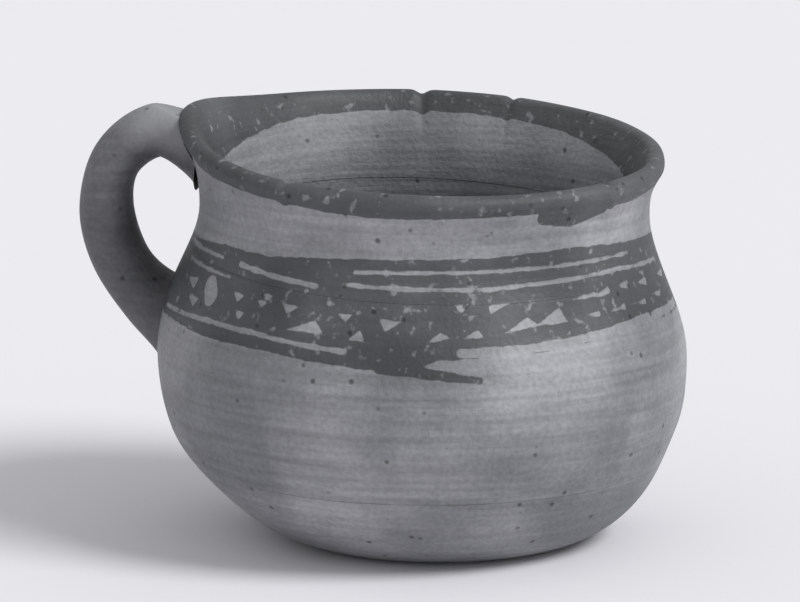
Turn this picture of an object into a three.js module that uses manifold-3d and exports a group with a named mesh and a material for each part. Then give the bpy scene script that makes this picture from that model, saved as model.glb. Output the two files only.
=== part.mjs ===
// A hand-built, painted pottery cup with one loop handle, as its potter put it together.
// A pressed bowl carries a belly wall and an out-turned neck strip, each lapped on the one below
// with wet slip. A clay rope is bent into the handle, butted on the lip and on the shoulder, and
// held there by a collar of luting clay that is smoothed out over the pot.
// Millimetres, +Z up. The origin is on the pot's axis, on the face that it stands on. The handle
// is on the -X side and bends in the XZ plane.
import * as THREE from "three";
import { mergeVertices } from "three/addons/utils/BufferGeometryUtils.js";
import Module from "manifold-3d";

// The pot's outline, on its axis before the hand's unevenness is added.
const footRadius = 29; // flat that it stands on
const bellyRadius = 60;
const bellyHeight = 41; // height of the widest girth
const neckRadius = 50.6; // narrowest girth
const neckHeight = 74.5;
const lipRadius = 54.2; // middle of the rounded lip
const lipHeight = 86.5;

// How round each stretch is: the reach of the Bezier handles at its two ends.
const footReach = 15;
const bellyReachDown = 20;
const bellyReachUp = 14;
const neckReachDown = 10;
const neckReachUp = 5;
const lipReachDown = 5;
const lipFlare = 32; // degrees that the lip leans out from upright

// Clay thicknesses.
const wallThickness = 5;
const lipThickness = 4.2;

// Where the three members of the wall lap, and the slip that bonds them.
const bowlSeamHeight = 19;
const neckSeamHeight = 66;
const seamLap = 5; // rise of the bevelled joint from outside to inside
const slipJoint = 0.3;

// The hand's unevenness. The mouth leans away from the handle and to the pot's front, -Y.
const mouthDropAway = 2.4; // at the lip, on the side away from the handle
const mouthDropFront = 4.4;
const handlePull = 4.6; // rise of the lip where the handle hangs on it
const handlePullSpread = 30; // degrees to each side over which that rise fades
const heelShift = 3.4; // the foot sits off the axis, away from the handle
const heelShiftHeight = 26; // height at which the shift has faded

// The handle, in the XZ plane.
const handleReach = 78.2; // from the pot's axis to the back of the loop
const handleThickness = 12; // in the plane of the loop
const handleWidth = 15; // across it
const handleRootSwell = 1.22; // thicker again towards the lower root
const crownHeight = 97; // top of the loop
const gripHeight = 73.5; // where the loop stands furthest out
const upperRootHeight = 90;
const lowerRootHeight = 46.5;

// The luting collars at the two roots.
const upperLutingLength = 9; // along the handle, from the wall
const lowerLutingLength = 17; // longer, as the handle meets the shoulder at a slant
const lutingFlare = 5.5; // how far the collar spreads at the wall

// Facets.
const aroundPot = 48;
const aroundHandle = 16;
const wallSteps = 22;
const handleSteps = 24;
const collarSteps = 6;

const clay = new THREE.MeshStandardMaterial({ color: 0x8c8e92, roughness: 0.75, metalness: 0 });
const darkClay = new THREE.MeshStandardMaterial({ color: 0x5b5d61, roughness: 0.7, metalness: 0 });
const lutingClay = new THREE.MeshStandardMaterial({ color: 0x75777b, roughness: 0.8, metalness: 0 });

const wasm = await Module();
wasm.setup();

const radians = THREE.MathUtils.degToRad;
const fade = (x) => THREE.MathUtils.smoothstep(x, 0, 1);

// The outer outline from the edge of the foot to the middle of the lip, as three Bezier curves.
function outerOutline() {
  const point = (r, z) => new THREE.Vector2(r, z);
  const flare = radians(lipFlare);
  const path = new THREE.CurvePath();
  path.add(
    new THREE.CubicBezierCurve(
      point(footRadius, 0),
      point(footRadius + footReach, 0),
      point(bellyRadius, bellyHeight - bellyReachDown),
      point(bellyRadius, bellyHeight),
    ),
  );
  path.add(
    new THREE.CubicBezierCurve(
      point(bellyRadius, bellyHeight),
      point(bellyRadius, bellyHeight + bellyReachUp),
      point(neckRadius, neckHeight - neckReachDown),
      point(neckRadius, neckHeight),
    ),
  );
  path.add(
    new THREE.CubicBezierCurve(
      point(neckRadius, neckHeight),
      point(neckRadius, neckHeight + neckReachUp),
      point(lipRadius - lipReachDown * Math.sin(flare), lipHeight - lipReachDown * Math.cos(flare)),
      point(lipRadius, lipHeight),
    ),
  );
  return path;
}

// Points of the outline with their outward normals and the thickness of the clay there.
function wallStations(count) {
  const path = outerOutline();
  const stations = [];
  for (let i = 0; i <= count; i++) {
    const at = path.getPointAt(i / count);
    const along = path.getTangentAt(i / count);
    const lipward = fade((at.y - neckHeight) / (lipHeight - neckHeight));
    stations.push({
      at,
      normal: new THREE.Vector2(along.y, -along.x),
      thickness: THREE.MathUtils.lerp(wallThickness, lipThickness, lipward),
    });
  }
  return stations;
}

// The station at a height, between the two nearest ones.
function stationAt(stations, height) {
  const above = stations.findIndex((s) => s.at.y >= height);
  const [a, b] = [stations[above - 1], stations[above]];
  const share = (height - a.at.y) / (b.at.y - a.at.y);
  return {
    at: a.at.clone().lerp(b.at, share),
    normal: a.normal.clone().lerp(b.normal, share).normalize(),
    thickness: THREE.MathUtils.lerp(a.thickness, b.thickness, share),
  };
}

const outerFace = (s, grow = 0) => s.at.clone().addScaledVector(s.normal, grow);
const innerFace = (s) => s.at.clone().addScaledVector(s.normal, -s.thickness);

// The closed section of one member of the wall, between two heights on the outer face. A seam is
// bevelled: it is seamLap higher on the inner face than on the outer one.
function memberSection(stations, from, to) {
  const outside = stations.filter((s) => s.at.y > from + 1 && s.at.y < to - 1);
  const insideFrom = from > 0 ? from + seamLap : 0;
  const insideTo = to < lipHeight ? to + seamLap : lipHeight;
  const inside = stations.filter((s) => s.at.y > insideFrom + 1 && s.at.y < insideTo - 1);
  const section = [];
  if (from > 0) section.push(outerFace(stationAt(stations, from)));
  else section.push(new THREE.Vector2(0, 0), outerFace(stations[0]));
  outside.forEach((s) => section.push(outerFace(s)));
  if (to < lipHeight) {
    section.push(outerFace(stationAt(stations, to)));
    section.push(innerFace(stationAt(stations, insideTo)));
  } else section.push(...lipRound(stations.at(-1)));
  inside.reverse().forEach((s) => section.push(innerFace(s)));
  if (from > 0) section.push(innerFace(stationAt(stations, insideFrom)));
  else section.push(innerFace(stations[0]), new THREE.Vector2(0, wallThickness));
  return section;
}

// The half round that closes the lip, from the outer face over to the inner one.
function lipRound(top) {
  const middle = top.at.clone().addScaledVector(top.normal, -top.thickness / 2);
  const up = new THREE.Vector2(-top.normal.y, top.normal.x);
  const steps = 6;
  const points = [];
  for (let i = 0; i <= steps; i++) {
    const turn = (Math.PI * i) / steps;
    points.push(
      middle
        .clone()
        .addScaledVector(top.normal, (Math.cos(turn) * top.thickness) / 2)
        .addScaledVector(up, (Math.sin(turn) * top.thickness) / 2),
    );
  }
  return points;
}

// Moves a point of the turned pot to where the hand left it.
function uneven(p) {
  const angle = Math.atan2(p.y, p.x);
  const out = Math.hypot(p.x, p.y) / lipRadius;
  const lean = fade(p.z / neckHeight);
  const fromHandle = THREE.MathUtils.radToDeg(Math.PI - Math.abs(angle)) / handlePullSpread;
  const nearLip = fade((p.z - neckSeamHeight) / (lipHeight - neckSeamHeight));
  p.z += lean * out * (mouthDropFront * Math.sin(angle) - mouthDropAway * Math.cos(angle));
  p.z += handlePull * nearLip * Math.exp(-fromHandle * fromHandle);
  p.x += heelShift * fade(1 - p.z / heelShiftHeight);
  return p;
}

// Moves every vertex of a geometry by the hand's unevenness.
function handFormed(geometry) {
  const place = geometry.getAttribute("position");
  const p = new THREE.Vector3();
  for (let i = 0; i < place.count; i++) {
    uneven(p.fromBufferAttribute(place, i));
    place.setXYZ(i, p.x, p.y, p.z);
  }
  return geometry;
}

// Turns a section about the pot's axis, standing up along Z.
function turned(section) {
  const closed = section[0].x === 0 ? section : [...section, section[0].clone()];
  const lathe = new THREE.LatheGeometry(closed, aroundPot);
  return handFormed(lathe.rotateX(Math.PI / 2));
}

// The line along the middle of the handle, from inside the lip to inside the shoulder.
function handleLine() {
  const half = handleThickness / 2;
  const far = handleReach - half;
  const point = (x, z) => new THREE.Vector3(-x, 0, z);
  return new THREE.CatmullRomCurve3(
    [
      point(lipRadius - wallThickness, upperRootHeight - 1),
      point(lipRadius + 6.5, crownHeight - half),
      point(far - 2.6, crownHeight - half - 6.5),
      point(far, gripHeight),
      point(far - 3.2, gripHeight - 12),
      point(far - 10, gripHeight - 20.5),
      point(bellyRadius - wallThickness - 2.5, lowerRootHeight),
    ],
    false,
    "centripetal",
  );
}

// Half the thickness and half the width of the handle at a share of its length.
function handleHalf(share) {
  const swell = 1 + (handleRootSwell - 1) * fade((share - 0.55) / 0.45);
  return [(handleThickness / 2) * swell, (handleWidth / 2) * swell];
}

// A solid through rings of points that all have one count, closed by a fan at each end.
function loft(rings) {
  const count = rings[0].length;
  const middle = (ring) =>
    ring.reduce((sum, p) => sum.add(p), new THREE.Vector3()).divideScalar(count);
  const points = [...rings.flat(), middle(rings[0]), middle(rings.at(-1))];
  const faces = [];
  for (let k = 0; k < count; k++) {
    const next = (k + 1) % count;
    for (let r = 0; r + 1 < rings.length; r++) {
      const [a, b] = [r * count + k, r * count + next];
      faces.push(a, a + count, b + count, a, b + count, b);
    }
    const last = (rings.length - 1) * count;
    faces.push(points.length - 2, k, next);
    faces.push(points.length - 1, last + next, last + k);
  }
  const geometry = new THREE.BufferGeometry().setFromPoints(points);
  geometry.setIndex(faces);
  return geometry;
}

// Rings across the handle's line between two shares of its length, grown by grow(share) all round.
function handleRings(from, to, steps, grow) {
  const line = handleLine();
  const across = new THREE.Vector3(0, 1, 0);
  const rings = [];
  for (let i = 0; i <= steps; i++) {
    const share = from + ((to - from) * i) / steps;
    const at = line.getPointAt(share);
    const out = new THREE.Vector3().crossVectors(line.getTangentAt(share), across);
    const [thick, wide] = handleHalf(share).map((half) => half + grow(share));
    const ring = [];
    for (let k = 0; k < aroundHandle; k++) {
      const turn = (2 * Math.PI * k) / aroundHandle;
      ring.push(
        at
          .clone()
          .addScaledVector(out, Math.cos(turn) * thick)
          .addScaledVector(across, Math.sin(turn) * wide),
      );
    }
    rings.push(ring);
  }
  return rings;
}

// manifold-3d solids, for the cuts.
function solid(geometry) {
  const bare = geometry.clone();
  bare.deleteAttribute("normal");
  bare.deleteAttribute("uv");
  const merged = mergeVertices(bare, 1e-3);
  return new wasm.Manifold(
    new wasm.Mesh({
      numProp: 3,
      vertProperties: merged.getAttribute("position").array,
      triVerts: new Uint32Array(merged.index.array),
    }),
  );
}

function geometryOf(cut) {
  const mesh = cut.getMesh();
  const geometry = new THREE.BufferGeometry();
  geometry.setAttribute("position", new THREE.BufferAttribute(mesh.vertProperties, 3));
  geometry.setIndex(new THREE.BufferAttribute(mesh.triVerts, 1));
  geometry.computeVertexNormals();
  return geometry;
}

function named(name, geometry, material) {
  const mesh = new THREE.Mesh(geometry, material);
  mesh.name = name;
  return mesh;
}

// The pot with its hollow filled, one slip joint larger: what the handle and the luting butt on.
function potCutter(stations) {
  const section = [new THREE.Vector2(0, -slipJoint)];
  stations.forEach((s) => section.push(outerFace(s, slipJoint)));
  const top = stations.at(-1);
  lipRound({ ...top, at: outerFace(top, slipJoint), thickness: top.thickness + 2 * slipJoint })
    .slice(1)
    .forEach((p) => section.push(p));
  section.push(new THREE.Vector2(0, section.at(-1).y));
  return solid(turned(section));
}

const stations = wallStations(wallSteps);
const halfSlip = slipJoint / 2;

const bowl = turned(memberSection(stations, 0, bowlSeamHeight - halfSlip));
const belly = turned(
  memberSection(stations, bowlSeamHeight + halfSlip, neckSeamHeight - halfSlip),
);
const neck = turned(memberSection(stations, neckSeamHeight + halfSlip, lipHeight));

const cutter = potCutter(stations);
const lineLength = handleLine().getLength();

const handleSolid = solid(loft(handleRings(0, 1, handleSteps, () => 0))).subtract(cutter);
const handleRoom = solid(loft(handleRings(0, 1, handleSteps, () => slipJoint)));

// A collar round one root. The flare follows a quarter round, widest at the wall.
function collar(end, length) {
  const collarShare = (length + wallThickness) / lineLength;
  const flare = (share) => {
    const away = Math.abs(share - end) / collarShare;
    return lutingFlare * (1 - Math.sqrt(1 - (1 - away) ** 2)) + 2 * slipJoint * (1 - away);
  };
  const [from, to] = end === 0 ? [0, collarShare] : [1 - collarShare, 1];
  return solid(loft(handleRings(from, to, collarSteps, flare))).subtract(handleRoom).subtract(cutter);
}

const cup = new THREE.Group();
cup.add(named("foot_bowl", bowl, clay));
cup.add(named("belly_wall", belly, clay));
cup.add(named("neck_and_lip", neck, clay));
cup.add(named("handle", geometryOf(handleSolid), darkClay));
cup.add(named("upper_luting", geometryOf(collar(0, upperLutingLength)), lutingClay));
cup.add(named("lower_luting", geometryOf(collar(1, lowerLutingLength)), lutingClay));

export default cup;
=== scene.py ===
import math
import bpy
import bmesh
import numpy as np
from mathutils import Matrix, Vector


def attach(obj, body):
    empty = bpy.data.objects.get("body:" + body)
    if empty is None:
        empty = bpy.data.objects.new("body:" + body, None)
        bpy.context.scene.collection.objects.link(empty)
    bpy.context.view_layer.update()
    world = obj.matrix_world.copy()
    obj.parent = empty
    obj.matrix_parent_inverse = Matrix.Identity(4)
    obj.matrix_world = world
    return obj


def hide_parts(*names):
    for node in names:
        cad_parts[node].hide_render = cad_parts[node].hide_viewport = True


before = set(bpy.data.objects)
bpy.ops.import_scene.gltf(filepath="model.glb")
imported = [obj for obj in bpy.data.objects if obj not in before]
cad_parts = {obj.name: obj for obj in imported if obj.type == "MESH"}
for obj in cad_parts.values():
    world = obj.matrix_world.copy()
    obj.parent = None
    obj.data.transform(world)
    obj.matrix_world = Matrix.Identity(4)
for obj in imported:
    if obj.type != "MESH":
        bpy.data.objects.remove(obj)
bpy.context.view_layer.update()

# The camera looks down at the cup from a long way off, a little to the right of the handle's
# broad side. Sizes here and below are in millimetres, and MM turns them to metres.
MM = 0.001
camera_elevation = math.radians(10.5)
camera_azimuth = math.radians(6.0)
camera_distance = 900.0
camera_focal_px = 3979.0
picture_width = 800
picture_height = 602
sensor_width = 36.0
aim_right = -5.2
aim_up = 52.9
straight_up = np.array([0.0, 0.0, 1.0])
view_right = np.array([math.cos(camera_azimuth), math.sin(camera_azimuth), 0.0])
view_near = np.array([math.sin(camera_azimuth), -math.cos(camera_azimuth), 0.0])
aim = view_right * aim_right + straight_up * aim_up
towards_eye = view_near * math.cos(camera_elevation) + straight_up * math.sin(camera_elevation)
eye = aim + camera_distance * towards_eye
camera_data = bpy.data.cameras.new("camera")
camera_data.sensor_width = sensor_width
camera_data.lens = camera_focal_px / picture_width * sensor_width
camera = bpy.data.objects.new("camera", camera_data)
camera.location = Vector(eye * MM)
camera.rotation_euler = Vector((aim - eye) * MM).to_track_quat("-Z", "Y").to_euler()
bpy.context.collection.objects.link(camera)
bpy.context.scene.camera = camera
bpy.context.scene.view_settings.view_transform = "Standard"


# The wall of the pot: a pressed bowl, a belly wall and a neck strip of fine grey clay. Each is
# lapped on the one below with wet slip, and the whole is rubbed smooth outside. The outline is
# three Bezier curves, from the edge of the foot to where the lip starts to round over.
foot_radius = 29.0
belly_radius = 60.0
belly_height = 41.0
neck_radius = 50.6
neck_height = 74.5
lip_radius = 54.2
lip_height = 86.5
foot_reach = 15.0
belly_reach_down = 20.0
belly_reach_up = 14.0
neck_reach_down = 10.0
neck_reach_up = 5.0
lip_reach_down = 5.0
lip_flare = math.radians(32)
wall_thickness = 5.0
lip_thickness = 4.2
bowl_seam = 19.0
neck_seam = 66.0
seam_lap = 5.0
columns = 720  # round the pot
row_step = 0.55  # between the rows of the mesh
seam_corner = math.radians(48)  # edges sharper than this stay sharp


def fade(x):
    x = np.clip(x, 0, 1)
    return x * x * (3 - 2 * x)


def bezier(a, b, c, d, steps=240):
    t = np.linspace(0, 1, steps)[:, None]
    a, b, c, d = (np.array(p, float) for p in (a, b, c, d))
    return (1 - t) ** 3 * a + 3 * (1 - t) ** 2 * t * b + 3 * (1 - t) * t**2 * c + t**3 * d


foot_to_belly = bezier(
    (foot_radius, 0),
    (foot_radius + foot_reach, 0),
    (belly_radius, belly_height - belly_reach_down),
    (belly_radius, belly_height),
)
belly_to_neck = bezier(
    (belly_radius, belly_height),
    (belly_radius, belly_height + belly_reach_up),
    (neck_radius, neck_height - neck_reach_down),
    (neck_radius, neck_height),
)
neck_to_lip = bezier(
    (neck_radius, neck_height),
    (neck_radius, neck_height + neck_reach_up),
    (
        lip_radius - lip_reach_down * math.sin(lip_flare),
        lip_height - lip_reach_down * math.cos(lip_flare),
    ),
    (lip_radius, lip_height),
)
outline = np.vstack([foot_to_belly[:-1], belly_to_neck[:-1], neck_to_lip])
along = np.gradient(outline, axis=0)
along /= np.linalg.norm(along, axis=1)[:, None]
outward = np.column_stack([along[:, 1], -along[:, 0]])
lipward = fade((outline[:, 1] - neck_height) / (lip_height - neck_height))
thickness = wall_thickness + (lip_thickness - wall_thickness) * lipward
inner_line = outline - outward * thickness[:, None]


def reach_along(line):
    """How far along a line each of its points lies."""
    return np.concatenate([[0], np.cumsum(np.linalg.norm(np.diff(line, axis=0), axis=1))])


def resampled(line):
    """The same line with even steps of about row_step."""
    reach = reach_along(line)
    at = np.linspace(0, reach[-1], max(2, int(reach[-1] / row_step)))
    return np.column_stack([np.interp(at, reach, line[:, 0]), np.interp(at, reach, line[:, 1])])


def between(line, low, high):
    """The stretch of a face whose heights on the outer face lie between low and high."""
    keep = (outline[:, 1] >= low) & (outline[:, 1] <= high)
    return resampled(line[keep])


def lip_round(steps=16):
    """The half round over the lip, without its two ends."""
    middle = outline[-1] - outward[-1] * lip_thickness / 2
    up = np.array([-outward[-1][1], outward[-1][0]])
    turn = np.linspace(0, math.pi, steps)[1:-1, None]
    return middle + (np.cos(turn) * outward[-1] + np.sin(turn) * up) * lip_thickness / 2


def marked(points, inside):
    """Points of a section with a third column: 1 on the inner face and 0 elsewhere."""
    return np.column_stack([points, np.full(len(points), float(inside))])


def member(low, high):
    """The section of one member of the wall, bevelled at its seams as the potter lapped it."""
    under_ring = 2.0  # from the foot's edge in to the fan that closes the foot
    floor_ring = 8.0  # from there in to the fan that closes the floor of the cup
    low_in = low + seam_lap if low > 0 else 0
    high_in = high + seam_lap if high < lip_height else high
    parts = [marked(between(outline, low, high), 0)]
    if high >= lip_height:
        parts.append(marked(lip_round(), 0))
    parts.append(marked(between(inner_line, low_in, high_in)[::-1], 1))
    if low > 0:
        return np.vstack(parts)
    under = np.array([[0.0, 0.0], [foot_radius - under_ring, 0.0]])
    over = np.array([[foot_radius - floor_ring, wall_thickness], [0.0, wall_thickness]])
    return np.vstack([marked(under, 0), *parts, marked(over, 1)])


# The hand's unevenness: the mouth leans to the front and away from the handle, the lip is pulled
# up where the handle hangs on it, and the foot sits off the axis. Low waves run round the wall,
# and use has knocked small nicks out of the lip.
mouth_drop_front = 4.4
mouth_drop_away = 2.4
handle_pull = 4.6
handle_pull_spread = 30.0  # degrees
heel_shift = 3.4
heel_shift_height = 26.0
wave_start_height = 20.0
hand_waves = [  # depth, waves round the pot, climb, start
    (0.22, 3, 9, 0.0),
    (0.16, 7, -6, 0.0),
    (0.1, 13, 4, 1.0),
]
lip_nicks = [  # place and half width in degrees, depth
    (96.0, 1.6, 1.0),
    (72.0, 1.2, 0.7),
    (-35.0, 1.4, 0.6),
    (-118.0, 1.3, 0.7),
]


def mouth_lean(angle):
    return mouth_drop_front * np.sin(angle) - mouth_drop_away * np.cos(angle)


def uneven(r, z, angle):
    """Where the hand left a point of the evenly revolved wall."""
    lean = fade(z / neck_height)
    from_handle = np.degrees(math.pi - np.abs(angle)) / handle_pull_spread
    near_lip = fade((z - neck_seam) / (lip_height - neck_seam))
    rise = lean * r / lip_radius * mouth_lean(angle)
    rise = rise + handle_pull * near_lip * np.exp(-from_handle * from_handle)
    wave = sum(deep * np.sin(count * angle + z / climb + start) for deep, count, climb, start in hand_waves)
    r = r + wave * fade(z / wave_start_height)
    for nick, half_width, deep in lip_nicks:
        away = (np.degrees(angle) - nick) / half_width
        rise = rise - deep * near_lip**4 * np.exp(-away * away)
    z = z + rise
    shift = heel_shift * fade(1 - z / heel_shift_height)
    return np.stack([r * np.cos(angle) + shift, r * np.sin(angle), z], axis=-1)


# The painted ornament: dark slip brushed round the shoulder in a broad band, with thin lines and
# small triangles left bare in it, and a stroke that runs out at the front where the brush was
# lifted. The lip is painted too. Its places are picture points, turned to sizes on the wall.
shoulder_radius = 57.0  # arcs along the band are measured on this girth
paint_reach = 5.0  # depths in the paint are kept up to this far from an edge
blob_radius = 2.2
tail_half_widths = (1.6, 0.7)
drip_half_widths = (2.6, 1.2)
lip_band = 1.6
lip_band_wave = (0.5, 5, 0.7)  # depth, waves round the pot, start
inner_lip_band = 1.0
wide_lip_band = 7.0
wide_lip_zones = [(-8.0, 42.0), (180.0, 34.0)]  # middle and spread in degrees


def on_wall(px, py):
    """Angle from the picture's middle, in radians, and height of a picture point on the wall."""
    # a first guess on the belly, which each turn of the loop brings closer
    near = 55.0
    up = 45.0
    swing = 0.0
    furthest = 0.995  # sine of the last angle that the picture shows
    for _ in range(25):
        depth = near * math.cos(camera_elevation) + (up - aim_up) * math.sin(camera_elevation)
        scale = camera_focal_px / (camera_distance - depth)
        across = (px - picture_width / 2) / scale + aim_right
        up_screen = (picture_height / 2 - py) / scale
        up = aim_up + (up_screen + near * math.sin(camera_elevation)) / math.cos(camera_elevation)
        angle = camera_azimuth + swing - math.pi / 2
        even_height = up - float(fade(up / neck_height) * mouth_lean(angle))
        radius = float(np.interp(even_height, outline[:, 1], outline[:, 0]))
        swing = math.asin(max(-furthest, min(furthest, across / radius)))
        near = radius * math.cos(swing)
    return swing, up


def stroke(points):
    """Picture points as arc and height on the wall."""
    placed = np.array([on_wall(*p) for p in points])
    return placed * np.array([shoulder_radius, 1.0])


band_top = stroke([
    (192, 232), (232, 246), (270, 256), (332, 258), (430, 260), (492, 258), (566, 248),
    (640, 237), (652, 232),
])
band_foot = stroke([
    (170, 317), (200, 335), (260, 350), (350, 368), (405, 374), (420, 368), (440, 361),
    (500, 357), (560, 350), (640, 325), (676, 308),
])
tail_stroke = stroke([(380, 366), (430, 374), (480, 381)])
bare_blob = stroke([(210, 286), (210, 296)])
lip_drip = stroke([(548, 214), (572, 219), (603, 208)])
bare_lines = [  # picture points and half width
    ([(193, 238), (223, 257)], 0.45),
    ([(191, 256), (229, 277)], 0.35),
    ([(241, 264), (277, 277), (317, 286)], 0.55),
    ([(355, 272), (430, 273), (474, 273), (529, 269), (585, 262), (627, 252)], 0.4),
    ([(344, 284), (400, 289), (492, 290), (529, 285), (566, 280), (613, 270), (653, 258)], 0.4),
    ([(168, 304), (205, 320), (253, 333), (298, 344), (344, 352)], 0.5),
    ([(461, 354), (529, 349), (590, 338), (640, 321), (674, 300)], 0.9),
]
bare_triangles = [
    [(188, 276), (199, 278), (193, 288)], [(188, 294), (198, 299), (191, 306)],
    [(232, 290), (243, 296), (236, 302)], [(233, 309), (244, 313), (237, 319)],
    [(257, 299), (269, 302), (261, 308)], [(262, 292), (275, 296), (268, 301)],
    [(284, 304), (302, 306), (287, 314)], [(288, 329), (316, 321), (324, 335)],
    [(338, 313), (353, 314), (346, 322)], [(347, 340), (360, 331), (364, 342)],
    [(380, 319), (400, 322), (385, 332)], [(455, 306), (469, 304), (462, 313)],
    [(488, 306), (508, 304), (491, 314)], [(428, 343), (440, 333), (452, 339)],
    [(462, 339), (478, 331), (484, 337)], [(503, 334), (528, 318), (538, 325)],
    [(534, 327), (560, 308), (569, 322)], [(575, 299), (594, 292), (602, 296)],
    [(598, 296), (609, 286), (612, 293)], [(588, 316), (600, 311), (603, 317)],
    [(612, 311), (626, 304), (628, 310)], [(616, 287), (628, 281), (630, 288)],
    [(636, 284), (645, 277), (646, 284)], [(637, 304), (646, 298), (648, 304)],
    [(652, 294), (659, 289), (660, 296)], [(654, 274), (661, 269), (661, 276)],
]


def from_stroke(s, z, line, half_start, half_end):
    """Distance outside a stroke whose half width runs from one size to another."""
    nearest = np.full(s.shape, np.inf)
    count = len(line) - 1
    for i in range(count):
        a = line[i]
        run = line[i + 1] - a
        t = np.clip(((s - a[0]) * run[0] + (z - a[1]) * run[1]) / (run @ run), 0, 1)
        gap = np.hypot(s - a[0] - t * run[0], z - a[1] - t * run[1])
        half = half_start + (half_end - half_start) * (i + t) / count
        nearest = np.minimum(nearest, gap - half)
    return nearest


def from_triangle(s, z, corners):
    """Distance outside a triangle that is given by picture points."""
    line = stroke(corners)
    middle = line.mean(axis=0)
    furthest = np.full(s.shape, -np.inf)
    for i in range(len(line)):
        a = line[i]
        b = line[(i + 1) % len(line)]
        side = np.array([b[1] - a[1], a[0] - b[0]]) / np.linalg.norm(b - a)
        if side @ (middle - a) > 0:
            side = -side
        furthest = np.maximum(furthest, (s - a[0]) * side[0] + (z - a[1]) * side[1])
    return furthest


def band_depth(place):
    """How far points of the outer face lie inside the paint of the band or the drip."""
    x, y, z = np.moveaxis(place, -1, 0)
    swing = np.arctan2(
        x * view_right[0] + y * view_right[1],
        x * view_near[0] + y * view_near[1],
    )
    # the side that the picture doesn't show mirrors the one that it does
    swing = np.where(np.abs(swing) > math.pi / 2, np.sign(swing) * math.pi - swing, swing)
    s = swing * shoulder_radius
    top = np.interp(s, band_top[:, 0], band_top[:, 1])
    foot = np.interp(s, band_foot[:, 0], band_foot[:, 1])
    depth = np.minimum(top - z, z - foot)
    for points, half in bare_lines:
        depth = np.minimum(depth, from_stroke(s, z, stroke(points), half, half))
    for corners in bare_triangles:
        depth = np.minimum(depth, from_triangle(s, z, corners))
    depth = np.minimum(depth, from_stroke(s, z, bare_blob, blob_radius, blob_radius))
    depth = np.maximum(depth, -from_stroke(s, z, tail_stroke, *tail_half_widths))
    return np.maximum(depth, -from_stroke(s, z, lip_drip, *drip_half_widths))


def lip_depth(height, angle, inside):
    """How far points lie inside the paint of the lip, which reaches down into the mouth in places."""
    degrees = np.degrees(angle)
    reach_in = inner_lip_band
    for middle, spread in wide_lip_zones:
        away = ((degrees - middle + 180) % 360 - 180) / spread
        reach_in = reach_in + wide_lip_band * np.exp(-away * away)
    deep, count, start = lip_band_wave
    outside_edge = lip_height - lip_band + deep * np.sin(count * angle + start)
    return height - np.where(inside > 0.5, lip_height - reach_in, outside_edge)


def finished(name, mesh):
    """Turns every face outward, shades it smooth with sharp seams, and adds the object."""
    shape = bmesh.new()
    shape.from_mesh(mesh)
    bmesh.ops.recalc_face_normals(shape, faces=shape.faces)
    shape.to_mesh(mesh)
    shape.free()
    mesh.polygons.foreach_set("use_smooth", np.ones(len(mesh.polygons), bool))
    mesh.set_sharp_from_angle(angle=seam_corner)
    piece = bpy.data.objects.new(name, mesh)
    bpy.context.collection.objects.link(piece)
    return piece


def revolved(name, section, on_axis):
    """A closed member of the wall, with the depth of each of its points in the paint."""
    body = section[1:-1] if on_axis else section
    rows = len(body)
    angle = np.tile(np.linspace(-math.pi, math.pi, columns, endpoint=False), (rows, 1))
    r, z, inside = (np.repeat(body[:, [k]], columns, axis=1) for k in range(3))
    place = uneven(r, z, angle)
    band = np.where(inside > 0.5, -paint_reach, band_depth(place))
    paint = np.maximum(band, lip_depth(z, angle, inside)).ravel()
    verts = place.reshape(-1, 3)
    index = np.arange(rows * columns).reshape(rows, columns)
    following = np.roll(index, -1, axis=1)
    steps = range(rows - 1) if on_axis else range(rows)
    faces = []
    for a in steps:
        b = (a + 1) % rows
        faces.extend(np.column_stack([index[a], following[a], following[b], index[b]]).tolist())
    if on_axis:
        # a fan of triangles closes the foot below, and the floor of the cup above it
        for end, row in ((section[0], index[0]), (section[-1], index[-1])):
            pole = len(verts)
            verts = np.vstack([verts, [heel_shift, 0.0, end[1]]])
            paint = np.append(paint, -paint_reach)
            faces.extend([pole, int(a), int(b)] for a, b in zip(row, np.roll(row, -1)))
    mesh = bpy.data.meshes.new(name)
    mesh.from_pydata((verts * MM).tolist(), [], faces)
    layer = mesh.attributes.new("paint", "FLOAT", "POINT")
    layer.data.foreach_set("value", np.clip(paint, -paint_reach, paint_reach).astype(np.float32))
    return finished(name, mesh)


# The finish of the wall: grey slip over fine earthenware, rubbed with a pebble before firing. It
# gives the eye fine level streaks, soft smoke clouds, grain, and small pits where grit fell out,
# whose hollows are darkened in the colour as painted shade. The real grit is finer than the render
# can show, so the grain is drawn about 1 mm across.
streak_length = 38.5
streak_height = 1.613
cloud_size = 29.41
grain_size = 1.111
fleck_size = 2.381
ragged_size = 3.333  # of the bristle marks along a painted edge
pit_spacing = 5.882
relief_depth = 0.5
clay_ior = 1.5


def linear(hex_colour):
    parts = [int(hex_colour[i : i + 2], 16) / 255 for i in (1, 3, 5)]
    return [c / 12.92 if c <= 0.04045 else ((c + 0.055) / 1.055) ** 2.4 for c in parts] + [1.0]


def per_metre(size):
    """The scale of a pattern whose features are this many millimetres across."""
    return 1 / (size * MM)


def add(tree, kind, values=(), links=()):
    """Adds a node, sets its properties and input values, and links its inputs."""
    made = tree.nodes.new(kind)
    for key, value in dict(values).items():
        if isinstance(key, str) and hasattr(made, key):
            setattr(made, key, value)
        else:
            made.inputs[key].default_value = value
    for key, source in dict(links).items():
        tree.links.new(source, made.inputs[key])
    return made


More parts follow.
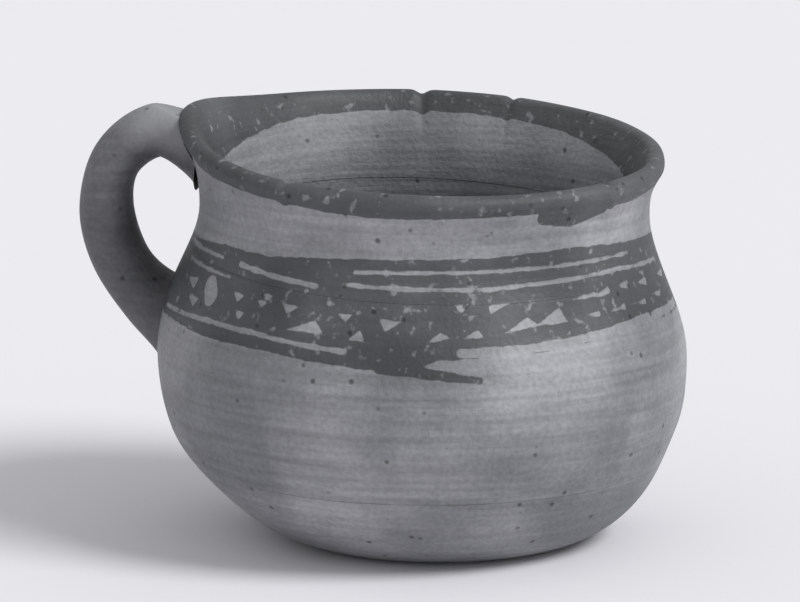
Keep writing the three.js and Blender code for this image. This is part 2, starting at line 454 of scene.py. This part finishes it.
def clay_patterns(tree):
    """The place on the object and the patterns that every clay finish here shares."""
    place = add(tree, "ShaderNodeTexCoord").outputs["Object"]
    stretch = (per_metre(streak_length), per_metre(streak_length), per_metre(streak_height))
    drawn_out = add(tree, "ShaderNodeMapping", {"Scale": stretch}, {"Vector": place})
    streaks = add(
        tree, "ShaderNodeTexNoise", {"Scale": 1.0, "Detail": 5.0}, {"Vector": drawn_out.outputs[0]}
    )
    found = {"place": place, "streaks": streaks.outputs[0]}
    for label, size, detail in (
        ("clouds", cloud_size, 5.0),
        ("grain", grain_size, 4.0),
        ("flecks", fleck_size, 2.0),
        ("ragged", ragged_size, 3.0),
    ):
        settings = {"Scale": per_metre(size), "Detail": detail}
        found[label] = add(tree, "ShaderNodeTexNoise", settings, {"Vector": place}).outputs[0]
    cells = add(tree, "ShaderNodeTexVoronoi", {"Scale": per_metre(pit_spacing)}, {"Vector": place})
    # the pits both sink the relief and darken the colour there, as painted shade in their hollows
    pits = add(
        tree, "ShaderNodeMapRange",
        {"From Min": 0.06, "From Max": 0.13, "To Min": 0.35, "To Max": 1.0},
        {"Value": cells.outputs["Distance"]},
    )
    found["pits"] = pits.outputs[0]
    return found


def slip_colour(tree, found, light_hex, shade_hex):
    """The colour of the bare slip: light and smoky clouds, streaked and grained."""
    cloud_mix = add(
        tree, "ShaderNodeMapRange", {"From Min": 0.36, "From Max": 0.64}, {"Value": found["clouds"]}
    )
    colour = add(
        tree, "ShaderNodeMix",
        {"data_type": "RGBA", 6: linear(light_hex), 7: linear(shade_hex)},
        {"Factor": cloud_mix.outputs[0]},
    ).outputs[2]
    for label, dim, bright in (("streaks", 0.8, 1.16), ("grain", 0.86, 1.12)):
        share = add(
            tree, "ShaderNodeMapRange",
            {"From Min": 0.3, "From Max": 0.7, "To Min": dim, "To Max": bright},
            {"Value": found[label]},
        )
        toned = add(
            tree, "ShaderNodeVectorMath", {"operation": "SCALE"},
            {"Vector": colour, "Scale": share.outputs[0]},
        )
        colour = toned.outputs[0]
    return colour


def brushed_slip(tree, found, colour, paint_hex):
    """Dark slip over a colour, with ragged brush edges, flecks worn through and thin places."""
    depth = add(tree, "ShaderNodeAttribute", {"attribute_name": "paint"}).outputs["Fac"]
    ragged = add(tree, "ShaderNodeMath", {"operation": "SUBTRACT", 1: 0.5}, {0: found["ragged"]})
    edge = add(tree, "ShaderNodeMath", {"operation": "ADD"}, {0: depth, 1: ragged.outputs[0]})
    cover = add(
        tree, "ShaderNodeMapRange", {"From Min": -0.1, "From Max": 0.15}, {"Value": edge.outputs[0]}
    ).outputs[0]
    for label, low, high, at_low, at_high in (
        ("flecks", 0.62, 0.72, 1.0, 0.35),
        ("clouds", 0.2, 0.8, 0.72, 1.0),
    ):
        left = add(
            tree, "ShaderNodeMapRange",
            {"From Min": low, "From Max": high, "To Min": at_low, "To Max": at_high},
            {"Value": found[label]},
        )
        adjusted = add(tree, "ShaderNodeMath", {"operation": "MULTIPLY"}, {0: cover, 1: left.outputs[0]})
        cover = adjusted.outputs[0]
    coat = add(
        tree, "ShaderNodeMix", {"data_type": "RGBA", 7: linear(paint_hex)},
        {"Factor": cover, 6: colour},
    )
    return coat.outputs[2]


def fired_clay(tree, found, colour):
    """Darkens the pits with painted shade, and gives the surface its relief and its rubbed sheen."""
    # the colour scaled down in the pits: painted shade in the hollows
    pit_shaded = add(
        tree, "ShaderNodeVectorMath", {"operation": "SCALE"}, {"Vector": colour, "Scale": found["pits"]}
    )
    rough = add(
        tree, "ShaderNodeMapRange",
        {"From Min": 0.3, "From Max": 0.7, "To Min": 0.5, "To Max": 0.72},
        {"Value": found["streaks"]},
    )
    fine = add(tree, "ShaderNodeMath", {"operation": "ADD"}, {0: found["streaks"], 1: found["grain"]})
    relief = add(tree, "ShaderNodeMath", {"operation": "ADD"}, {0: fine.outputs[0], 1: found["pits"]})
    bump = add(
        tree, "ShaderNodeBump", {"Strength": 0.4, "Distance": relief_depth * MM},
        {"Height": relief.outputs[0]},
    )
    shader = add(
        tree, "ShaderNodeBsdfPrincipled", {"IOR": clay_ior},
        {
            "Base Color": pit_shaded.outputs[0],
            "Roughness": rough.outputs[0],
            "Normal": bump.outputs[0],
        },
    )
    add(tree, "ShaderNodeOutputMaterial", (), {"Surface": shader.outputs[0]})


def bare_material(name):
    """A new material with no nodes yet, and its node tree."""
    material = bpy.data.materials.new(name)
    material.use_nodes = True
    material.node_tree.nodes.clear()
    return material, material.node_tree


painted_clay, clay_tree = bare_material("painted_clay")
clay_found = clay_patterns(clay_tree)
clay_colour = slip_colour(clay_tree, clay_found, "#9a9b9f", "#75777b")
fired_clay(clay_tree, clay_found, brushed_slip(clay_tree, clay_found, clay_colour, "#34373a"))
members = {
    "foot_bowl": (0.0, bowl_seam),
    "belly_wall": (bowl_seam, neck_seam),
    "neck_and_lip": (neck_seam, lip_height),
}
for node_name, (low, high) in members.items():
    piece = revolved("pot_" + node_name, member(low, high), low == 0)
    piece.data.materials.append(painted_clay)
    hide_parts(node_name)
    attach(piece, "root")


# The handle: one clay rope bent into a loop, with a collar of luting clay smeared out over the
# pot at each root. It is rubbed dark, is thicker towards the shoulder, and has no corner where
# a collar meets the rope.
handle_thickness = 12.0
handle_width = 15.0
root_swell = 1.22
swell_start = 0.55  # share of the length at which the handle starts to thicken
upper_collar = 14.0
lower_collar = 22.0
collar_flare = 5.5
round_steps = 96
handle_points = [  # the middle of the rope: distance from the pot's axis, and height
    (49.2, 89),
    (60.7, 91),
    (69.6, 84.5),
    (72.2, 73.5),
    (69, 61.5),
    (62.2, 53),
    (52.5, 46.5),
]
crown_height = 97.0
crown_wave_fade = 20.0
rope_waves = [  # depth, lobes round the rope, climb, start
    (0.25, 2, 5, 0.0),
    (0.2, 0, 8, 2.0),
]
root_top = 94.2  # over the lip the upper root's clay ends here, a little below the rim's own top
rim_edge = 52.0  # further than this from the axis it rises again
rim_to_crown = 9.0  # and over this distance it reaches the height of the crown
root_inside = 49.2  # the upper root ends within the wall, this far from the axis
root_inside_top = 52.4  # and this far where the leaning lip has carried the wall out
root_lean_height = 84.0
root_lean_rise = 6.0


def centripetal(points, steps=60):
    """A smooth curve through points, with no overshoot where they lie close together."""
    p = np.array(points, float)
    p = np.vstack([2 * p[0] - p[1], p, 2 * p[-1] - p[-2]])
    t = np.linspace(0, 1, steps, endpoint=False)[:, None]
    stretches = []
    for i in range(1, len(p) - 2):
        p0, p1, p2, p3 = p[i - 1 : i + 3]
        k0, k1, k2 = (math.sqrt(np.linalg.norm(b - a)) for a, b in ((p0, p1), (p1, p2), (p2, p3)))
        m1 = ((p1 - p0) / k0 - (p2 - p0) / (k0 + k1) + (p2 - p1) / k1) * k1
        m2 = ((p2 - p1) / k1 - (p3 - p1) / (k1 + k2) + (p3 - p2) / k2) * k1
        ends = (2 * t**3 - 3 * t**2 + 1) * p1 + (3 * t**2 - 2 * t**3) * p2
        stretches.append(ends + (t**3 - 2 * t**2 + t) * m1 + (t**3 - t**2) * m2)
    return np.vstack([*stretches, p[-2]])


rope = resampled(centripetal(handle_points))
rope_reach = reach_along(rope)
rope_length = rope_reach[-1]
rope_run = np.gradient(rope, axis=0)
rope_run /= np.linalg.norm(rope_run, axis=1)[:, None]


def rope_piece(name, start, end):
    """The stretch of the rope between two distances along it, flared at the roots."""
    slack = 1e-6
    keep = (rope_reach >= start - slack) & (rope_reach <= end + slack)
    reach = rope_reach[keep][:, None]
    middle_out, middle_up = rope[keep].T[:, :, None]
    run_out, run_up = rope_run[keep].T[:, :, None]
    swell = 1 + (root_swell - 1) * fade((reach / rope_length - swell_start) / (1 - swell_start))
    flare = 0.0
    for away in (reach / upper_collar, (rope_length - reach) / lower_collar):
        away = np.clip(away, 0, 1)
        flare = flare + collar_flare * (1 - np.sqrt(1 - (1 - away) ** 2))
    turn = np.linspace(0, 2 * math.pi, round_steps, endpoint=False)[None, :]
    wave = sum(
        deep * np.sin(reach / climb + start) * np.cos(lobes * turn)
        for deep, lobes, climb, start in rope_waves
    )
    wave = wave * np.clip((crown_height - middle_up) / crown_wave_fade, 0, 1)
    thick = handle_thickness / 2 * swell + flare + wave
    wide = handle_width / 2 * swell + flare + wave
    x = -middle_out - run_up * np.cos(turn) * thick
    y = np.sin(turn) * wide
    z = middle_up - run_out * np.cos(turn) * thick
    over_rim = np.clip((-x - rim_edge) / rim_to_crown, 0, 1)
    z = np.minimum(z, root_top + (crown_height - root_top) * over_rim)
    leaning = np.clip((z - root_lean_height) / root_lean_rise, 0, 1)
    x = np.minimum(x, -root_inside - (root_inside_top - root_inside) * leaning)
    verts = np.stack([x, y, z], axis=-1).reshape(-1, 3)
    index = np.arange(len(verts)).reshape(-1, round_steps)
    following = np.roll(index, -1, axis=1)
    sides = np.stack([index[:-1], following[:-1], following[1:], index[1:]], axis=-1)
    faces = sides.reshape(-1, 4).tolist() + [index[0].tolist(), index[-1].tolist()]
    mesh = bpy.data.meshes.new(name)
    mesh.from_pydata((verts * MM).tolist(), [], faces)
    return finished(name, mesh)


# The finish of the handle: the same slip, smoked darker and rubbed by the hand. Its crown is
# painted lighter, towards the pale clay colour, as a painted highlight where the light falls on its
# top, unevenly: the pattern of the clouds adds up to the variation given below to the height of a
# place before it is held against the two heights below.
highlight_start_height = 102.0
highlight_full_height = 112.0
highlight_variation = 30.0
highlight_share = 0.85


# Lays the pale clay colour over the highest parts of the handle: a painted highlight on its crown.
def painted_crown_highlight(tree, found, colour, highlight_hex):
    height = add(tree, "ShaderNodeSeparateXYZ", (), {"Vector": found["place"]}).outputs[2]
    lifted = add(
        tree, "ShaderNodeMath", {"operation": "MULTIPLY_ADD", 1: highlight_variation * MM},
        {0: found["clouds"], 2: height},
    )
    crown_highlight = add(
        tree, "ShaderNodeMapRange",
        {"From Min": highlight_start_height * MM, "From Max": highlight_full_height * MM, "To Max": highlight_share},
        {"Value": lifted.outputs[0]},
    )
    adjusted = add(
        tree, "ShaderNodeMix", {"data_type": "RGBA", 7: linear(highlight_hex)},
        {"Factor": crown_highlight.outputs[0], 6: colour},
    )
    return adjusted.outputs[2]


dark_clay, dark_tree = bare_material("dark_burnished_clay")
dark_found = clay_patterns(dark_tree)
dark_colour = slip_colour(dark_tree, dark_found, "#6d6e72", "#4a4b4f")
# the handle's colour, with a painted highlight laid over its crown
fired_clay(dark_tree, dark_found, painted_crown_highlight(dark_tree, dark_found, dark_colour, "#9a9b9f"))
upper_end = rope_reach[np.searchsorted(rope_reach, upper_collar)]
lower_start = rope_reach[np.searchsorted(rope_reach, rope_length - lower_collar)]
stretches_of_rope = {
    "upper_luting": (0.0, upper_end, "luting_clay"),
    "handle": (upper_end, lower_start, "dark_clay"),
    "lower_luting": (lower_start, rope_length, "luting_clay"),
}
for node_name, (start, end, slot_name) in stretches_of_rope.items():
    piece = rope_piece("clay_" + node_name, start, end)
    piece.data.materials.append(dark_clay)
    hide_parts(node_name)
    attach(piece, "root")


# The floor: one wide sheet of pale matt paper that fills the picture, and takes the cup's shadow.
floor_half = 9.0  # metres
floor_corners = [(-floor_half, -floor_half), (floor_half, -floor_half), (floor_half, floor_half),
                 (-floor_half, floor_half)]
floor_mesh = bpy.data.meshes.new("floor")
floor_mesh.from_pydata([(x, y, 0) for x, y in floor_corners], [], [(0, 1, 2, 3)])
floor = bpy.data.objects.new("floor", floor_mesh)
bpy.context.collection.objects.link(floor)
pale_paper = bpy.data.materials.new("pale_paper")
pale_paper.use_nodes = True
paper_shader = pale_paper.node_tree.nodes["Principled BSDF"]
paper_shader.inputs["Base Color"].default_value = linear("#ecebf0")
paper_shader.inputs["Roughness"].default_value = 0.9
floor_mesh.materials.append(pale_paper)


# The light: an even white room, and a broad soft lamp high on the right, a little to the front.
room_strength = 0.55
lamp_strength = 2.1
lamp_spread = math.radians(24)
lamp_direction = Vector((-0.72, 0.28, -0.74))
world = bpy.data.worlds.new("soft_room")
world.use_nodes = True
room = world.node_tree.nodes["Background"]
room.inputs["Color"].default_value = (1.0, 1.0, 1.0, 1.0)
room.inputs["Strength"].default_value = room_strength
bpy.context.scene.world = world
lamp_data = bpy.data.lights.new("window_light", "SUN")
lamp_data.energy = lamp_strength
lamp_data.angle = lamp_spread
lamp = bpy.data.objects.new("window_light", lamp_data)
lamp.rotation_euler = lamp_direction.to_track_quat("-Z", "Y").to_euler()
bpy.context.collection.objects.link(lamp)

bpy.context.view_layer.update()
